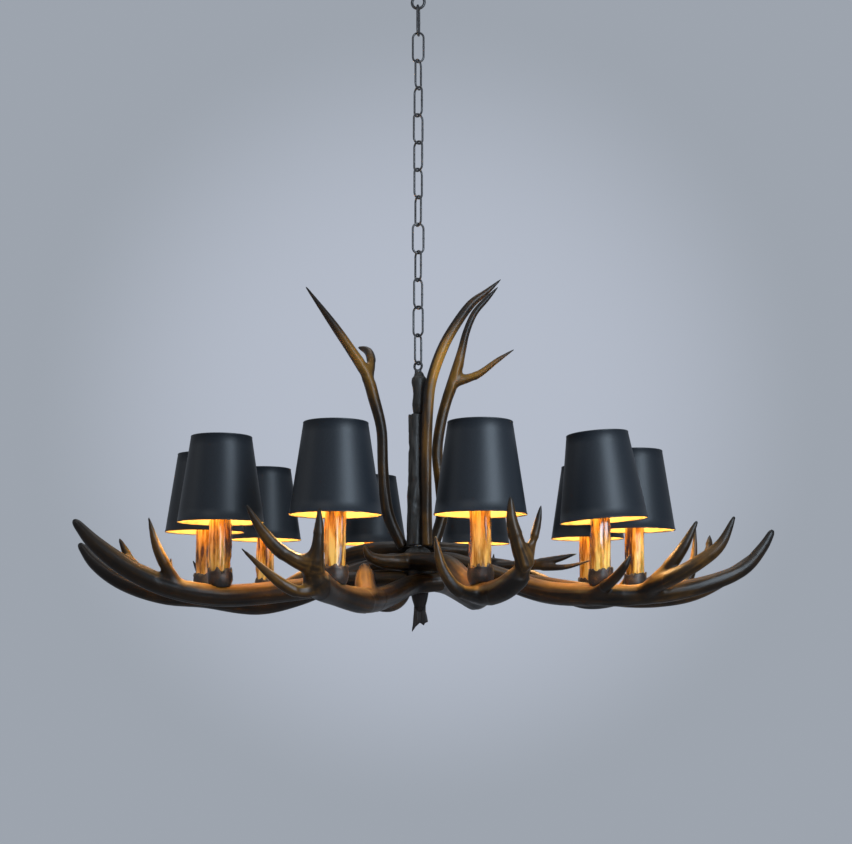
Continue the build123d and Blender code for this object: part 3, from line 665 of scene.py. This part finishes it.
bm = bmesh.new()
lamp_rows = ((0.01, 80), (6.9, 80), (6.9, 95), (7.6, 96.5), (9.6, 103), (13.2, 112), (15.9, 120), (16.4, 126),
             (15.8, 134), (13.6, 145), (10.4, 156), (6.8, 166), (3.6, 172.6), (1.6, 175.6), (0.01, 176.4))
for place in candle_places:
    turned(bm, lamp_rows, place, 32)
bmesh.ops.recalc_face_normals(bm, faces=bm.faces)
lamps = new_object("lamp_bulbs", bm, lamp_glow)
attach(lamps, "chandelier")
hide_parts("lamps")


# Each shade is black satin laminated on a stiff drum, lined with gold foil, with a thin rolled
# trim at both rims.  A wire hoop on three arms grips the lamp, so the shade lifts straight off.
satin_black = mottled_finish(
    "shade_satin", 900.0, 2.0, (0.3, (0.004, 0.0055, 0.008)), (0.7, (0.008, 0.011, 0.015)),
    bump=(0.08, 0.0004), Roughness=0.48, Specular_IOR_Level=0.28
)
gold_foil = mottled_finish(
    "shade_lining", 60.0, 4.0, (0.3, (0.25, 0.145, 0.036)), (0.7, (0.33, 0.21, 0.065)),
    bump=(0.15, 0.001), Roughness=0.65, Metallic=0.3
)
wire_brass = mottled_finish(
    "shade_wire", 150.0, 3.0, (0.3, (0.45, 0.40, 0.30)), (0.7, (0.62, 0.56, 0.42)),
    Roughness=0.35, Metallic=1.0
)

shade_foot = 81.5
shade_top = 191.5
foot_radius = 55.0
top_radius = 38.75
hoop_level = 143.5
hoop_inside = 14.1
hoop_wire_radius = 0.8
leaning_shade, shade_lean = 2, 4
drum_rows = [(54.0, shade_foot + 0.6), (54.9, shade_foot), (foot_radius, shade_foot + 0.5),
             (54.95, shade_foot + 1.7)]
drum_rows += [(54.45 - 15.9 * i / 8, shade_foot + 1.9 + 106.4 * i / 8) for i in range(9)]
drum_rows += [(top_radius, shade_top - 1.5), (38.7, shade_top - 0.4), (38.2, shade_top),
              (37.4, shade_top - 0.6)]
lining_rows = [(37.35, shade_top - 0.7)]
lining_rows += [(37.3 + 16.6 * i / 6, shade_top - 1.5 - 106.8 * i / 6) for i in range(7)]
lining_rows += [(53.95, shade_foot + 0.7)]
hoop_rows = []
for step in range(9):
    angle = math.radians(45 * step)
    hoop_rows.append((math.cos(angle) * hoop_wire_radius + hoop_inside + 0.9,
                      math.sin(angle) * hoop_wire_radius + hoop_level + 1))
for index, place in enumerate(candle_places):
    tilt = shade_lean if index == leaning_shade else 0
    bm = bmesh.new()
    turned(bm, drum_rows, Vector((0, 0, 0)), 96)
    outside = set(bm.faces)
    turned(bm, lining_rows, Vector((0, 0, 0)), 96)
    for face in bm.faces:
        face.material_index = 0 if face in outside else 1
    bmesh.ops.remove_doubles(bm, verts=bm.verts, dist=0.0002)
    bmesh.ops.recalc_face_normals(bm, faces=bm.faces)
    drum_faces = set(bm.faces)
    turned(bm, hoop_rows, Vector((0, 0, 0)), 40)
    for arm in range(3):
        turn = math.radians(120 * arm)
        out, up = Vector((math.cos(turn), math.sin(turn), 0)), Vector((0, 0, (hoop_level + 1) / 1000))
        stations = [Vector((*(out * reach + up), 0.0009)) for reach in (0.0155, 0.0301, 0.0447)]
        add_limb(bm, stations, 10)
    for face in bm.faces:
        if face not in drum_faces:
            face.material_index = 2
    pivot = Vector((0, 0, hoop_level / 1000))
    lean = Matrix.Rotation(math.radians(-tilt), 4, "Y")
    stood = Matrix.Translation(place + pivot) @ lean @ Matrix.Translation(-pivot)
    bmesh.ops.transform(bm, matrix=stood, verts=bm.verts)
    name = f"shade_{index + 1:02d}"
    drum = new_object(name + "_drum", bm, satin_black, gold_foil, wire_brass)
    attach(drum, name)
    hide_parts(name)


# The chain is 3 mm black wire, each link closed by a weld in one leg and hung in the one above.
chain_black = mottled_finish(
    "black_metal", 180.0, 4.0, (0.35, (0.012, 0.012, 0.014)), (0.7, (0.030, 0.030, 0.034)),
    bump=(0.15, 0.0005), Roughness=0.38
)


def wire_loop(bm, centre, turn, half_width, half_length, wire, steps, segments=14):
    """A closed loop of round wire: two half-round ends and the straight legs between them."""
    across = Vector((math.cos(turn), math.sin(turn), 0))
    square = Vector((-math.sin(turn), math.cos(turn), 0))
    last = first = None
    straight = half_length - half_width
    for step in range(2 * steps + 2):
        end, part = divmod(step, steps + 1)
        angle = math.pi * (end + part / steps)
        out = across * math.cos(angle) + Vector((0, 0, math.sin(angle)))
        spot = centre + out * half_width + Vector((0, 0, straight if end == 0 else -straight))
        turned_out = Matrix((out, square, out.cross(square))).transposed().to_4x4()
        made = bmesh.ops.create_circle(
            bm, segments=segments, radius=wire / 2, matrix=Matrix.Translation(spot) @ turned_out
        )
        ring = {edge for vert in made["verts"] for edge in vert.link_edges}
        if last:
            bmesh.ops.bridge_loops(bm, edges=list(last | ring))
        else:
            first = ring
        last = ring
    bmesh.ops.bridge_loops(bm, edges=list(last | first))


link_twists = (80, -5, 60, -47, 37, -43, 47, -59, 11, -59, 43, -32, 56)
link_half_width, link_half_length, link_wire = 0.0077, 0.0215, 0.003
for index, twist in enumerate(link_twists):
    name = f"chain_link_{index + 1:02d}"
    low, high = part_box(name)
    middle = Vector((0, 0, (low.z + high.z) / 2))
    turn = math.radians(twist)
    bm = bmesh.new()
    wire_loop(bm, middle, turn, link_half_width, link_half_length, link_wire, 12)
    weld = middle + Vector((math.cos(turn), math.sin(turn), 0)) * link_half_width
    bmesh.ops.create_uvsphere(
        bm, u_segments=14, v_segments=8, radius=0.00175,
        matrix=Matrix.Translation(weld) @ Matrix.Diagonal((1, 1, 1.7, 1))
    )
    bmesh.ops.recalc_face_normals(bm, faces=bm.faces)
    link = new_object(name + "_wire", bm, chain_black)
    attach(link, name)
    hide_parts(name)


# The eye bolt on top of the knob takes the last link, and the loop under the ceiling cup takes the
# first.  Both are rings of thicker wire on a turned shank.
low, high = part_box("column_eye")
eye_radius, eye_wire = 0.0062, 0.0034
eye_centre = Vector((0, 0, high.z - eye_wire / 2 - eye_radius))
bm = bmesh.new()
wire_loop(bm, eye_centre, math.radians(link_twists[-1] + 90), eye_radius, eye_radius, eye_wire, 12)
turned(bm, ((0.01, 0), (4.9, 0), (4.9, 12.6), (4.2, 13.4), (0.01, 13.4)), Vector((0, 0, low.z)), 28)
bmesh.ops.recalc_face_normals(bm, faces=bm.faces)
eye = new_object("eye_bolt", bm, chain_black)
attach(eye, "chandelier")
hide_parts("column_eye")

low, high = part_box("canopy_loop")
loop_radius, loop_wire = 0.0090, 0.0040
loop_centre = Vector((0, 0, low.z + loop_wire / 2 + loop_radius))
shank_rows = ((0.01, -22), (4.6, -22), (5.6, -20.6), (6.1, -18), (5.9, -9), (6.3, -6.2), (7.4, -5.6),
              (7.9, -4.6), (7.9, -0.7), (7.4, 0), (0.01, 0))
bm = bmesh.new()
wire_loop(bm, loop_centre, math.radians(link_twists[0] + 90), loop_radius, loop_radius, loop_wire, 14)
turned(bm, shank_rows, Vector((0, 0, high.z)), 36)
bmesh.ops.recalc_face_normals(bm, faces=bm.faces)
ceiling_loop = new_object("ceiling_loop", bm, chain_black)
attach(ceiling_loop, "ceiling_fixing")
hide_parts("canopy_loop")


# The ceiling cup is spun from thin steel, with a soft rolled edge, and hides the strap.
low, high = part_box("canopy")
bm = bmesh.new()
cup_rows = ((5.3, 0), (49.0, 0), (50.8, 0.6), (51.9, 2.2), (59.3, 37.6), (59.8, 38.4), (59.9, 39.4),
            (58.6, 39.4), (58.3, 38.2), (50.5, 2.9), (49.4, 1.7), (48.0, 1.4), (5.3, 1.4), (5.3, 0))
turned(bm, cup_rows, Vector((0, 0, low.z)), 96)
bmesh.ops.recalc_face_normals(bm, faces=bm.faces)
ceiling_cup = new_object("ceiling_cup", bm, chain_black)
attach(ceiling_cup, "ceiling_fixing")
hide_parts("canopy")


# The strap, nipple, rod and nuts are zinc-plated steel stock parts.
zinc, shader, nodes = new_finish("zinc_steel", Metallic=1.0, Roughness=0.38)
spot = nodes.add("ShaderNodeTexCoord").outputs["Object"]
spangle = nodes.add("ShaderNodeTexVoronoi", Vector=spot, Scale=240.0).outputs["Distance"]
zinc_greys = nodes.ramp(spangle, (0.1, (0.48, 0.49, 0.50)), (0.9, (0.64, 0.65, 0.66)))
nodes.feed(shader.inputs["Base Color"], zinc_greys)
for name in ("ceiling_strap", "nipple", "nipple_nut", "centre_rod", "hub_nut"):
    for material_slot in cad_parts[name].material_slots:
        material_slot.material = zinc


# A pale floor well below, a pale grey-blue surround that is lightest behind the object, and soft
# studio light from the front and above.  A tall bluish box draws the one highlight down each shade.
world = bpy.data.worlds.new("studio")
scene.world = world
world.use_nodes = True
nodes = Nodes(world.node_tree)
nearness = nodes.add("ShaderNodeVectorMath", operation="DOT_PRODUCT")
nodes.feed(nearness.inputs[0], nodes.add("ShaderNodeTexCoord").outputs["Generated"])
nearness.inputs[1].default_value = (0.0, 0.988, 0.153)
glow = nodes.span(nearness.outputs["Value"], 0.955, 0.998, interpolation="SMOOTHSTEP")
backdrop = nodes.mix(glow, (0.338, 0.372, 0.424), (0.462, 0.503, 0.588))
path = nodes.add("ShaderNodeLightPath")
seen = nodes.math("MAXIMUM", path.outputs["Is Camera Ray"], path.outputs["Is Glossy Ray"])
seen = nodes.math("MAXIMUM", seen, path.outputs["Is Transmission Ray"])
surround = nodes.mix(seen, (0.17, 0.175, 0.19), backdrop)
nodes.feed(world.node_tree.nodes["Background"].inputs["Color"], surround)

floor_level = -2.3
floor_pale, shader, nodes = new_finish("floor_pale", Base_Color=(0.62, 0.64, 0.68, 1), Roughness=0.8)
bm = bmesh.new()
bmesh.ops.create_grid(
    bm, x_segments=2, y_segments=2, size=3.0, matrix=Matrix.Translation((0, 0, floor_level))
)
floor = new_object("floor", bm, floor_pale)

softboxes = (
    ("key", (-1.2, -2.0, 1.7), 1.0, 1.0, 16.0, (1.0, 0.98, 0.95)),
    ("strip", (0.71, -1.24, -0.3), 0.5, 1.0, 29.0, (0.70, 0.85, 1.0)),
    ("fill", (-2.4, -0.6, 0.2), 1.0, 1.0, 4.0, (1.0, 1.0, 1.0)),
    ("top", (0.0, 0.6, 1.5), 1.4, 1.4, 16.0, (1.0, 1.0, 1.0)),
)
aim = Vector((0, 0, -0.75))
for name, place, width, height, power, colour in softboxes:
    light = bpy.data.lights.new(name, "AREA")
    light.shape = "RECTANGLE"
    light.size = width
    light.size_y = height
    light.energy = power
    light.color = colour
    lamp = bpy.data.objects.new(name, light)
    lamp.location = place
    lamp.rotation_euler = (aim - Vector(place)).to_track_quat("-Z", "Y").to_euler()
    scene.collection.objects.link(lamp)
